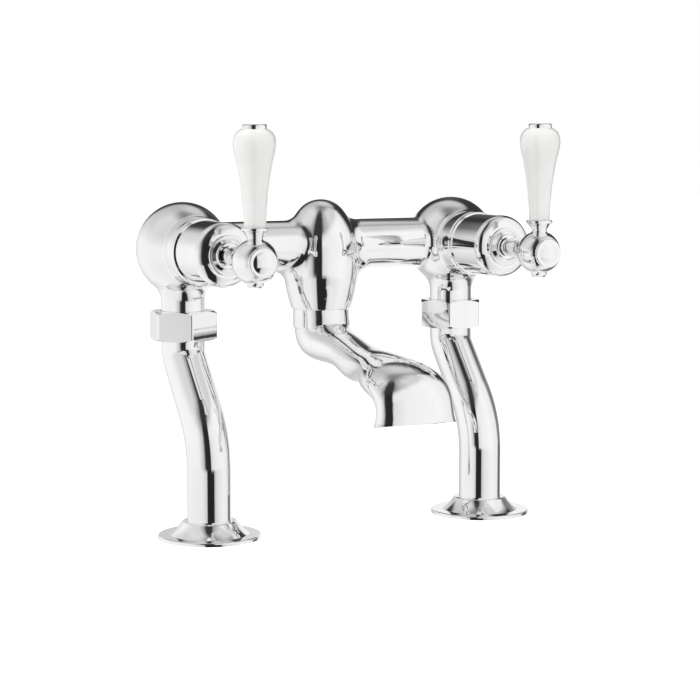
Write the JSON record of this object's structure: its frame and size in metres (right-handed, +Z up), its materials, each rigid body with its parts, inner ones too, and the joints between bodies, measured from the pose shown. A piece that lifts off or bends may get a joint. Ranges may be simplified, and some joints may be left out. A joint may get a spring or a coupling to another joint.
{
  "type": "deck-mounted bath filler tap",
  "caption": "Deck-mounted bath filler with cranked legs, a cast bar body, lever valves and a short bell-mouthed spout.",
  "frame": {"origin": "midway between the two feet, at deck level", "axes": "+Z up from the deck, -Y the front where the spout pours, +X to the tap's right as seen from the front"},
  "size_m": [0.2398, 0.1609, 0.2382],
  "materials": {
    "chrome": "polished",
    "lever_ceramic": "glazed white ceramic",
    "valve_ceramic": "ground ceramic",
    "brass": "machined",
    "steel": "machined",
    "rubber": "matt"
  },
  "bodies": {
    "tap": {"body": "chrome", "spout": "chrome", "spout_seal_ring": "rubber", "spout_lock_screw": "steel", "left_union_nut": "chrome", "left_union_washer": "rubber", "left_leg": "chrome", "left_base_flange": "chrome", "left_base_seal": "rubber", "left_foot_ring": "brass", "left_valve_shroud": "chrome", "left_cartridge_body": "brass", "left_seat_seal": "rubber", "left_fixed_disc": "valve_ceramic", "right_union_nut": "chrome", "right_union_washer": "rubber", "right_leg": "chrome", "right_base_flange": "chrome", "right_base_seal": "rubber", "right_foot_ring": "brass", "right_valve_shroud": "chrome", "right_cartridge_body": "brass", "right_seat_seal": "rubber", "right_fixed_disc": "valve_ceramic"},
    "left_handle": {"left_moving_disc": "valve_ceramic", "left_spindle": "brass", "left_spindle_seal_ring": "rubber", "left_retaining_clip": "steel", "left_lever_hub": "chrome", "left_hub_screw": "steel", "left_lever_cup": "chrome", "left_ceramic_lever": "lever_ceramic", "left_lever_rod": "steel", "left_tip_cap": "chrome", "left_finial": "chrome"},
    "right_handle": {"right_moving_disc": "valve_ceramic", "right_spindle": "brass", "right_spindle_seal_ring": "rubber", "right_retaining_clip": "steel", "right_lever_hub": "chrome", "right_hub_screw": "steel", "right_lever_cup": "chrome", "right_ceramic_lever": "lever_ceramic", "right_lever_rod": "steel", "right_tip_cap": "chrome", "right_finial": "chrome"}
  },
  "joints": [
    {"name": "left_lever_turn", "type": "hinge", "parent": "tap", "child": "left_handle", "pos_m": [-0.09, 0, 0.165], "axis": [0, -1, 0], "range_deg": [0, 90]},
    {"name": "right_lever_turn", "type": "hinge", "parent": "tap", "child": "right_handle", "pos_m": [0.09, 0, 0.165], "axis": [0, 1, 0], "range_deg": [0, 90]}
  ]
}
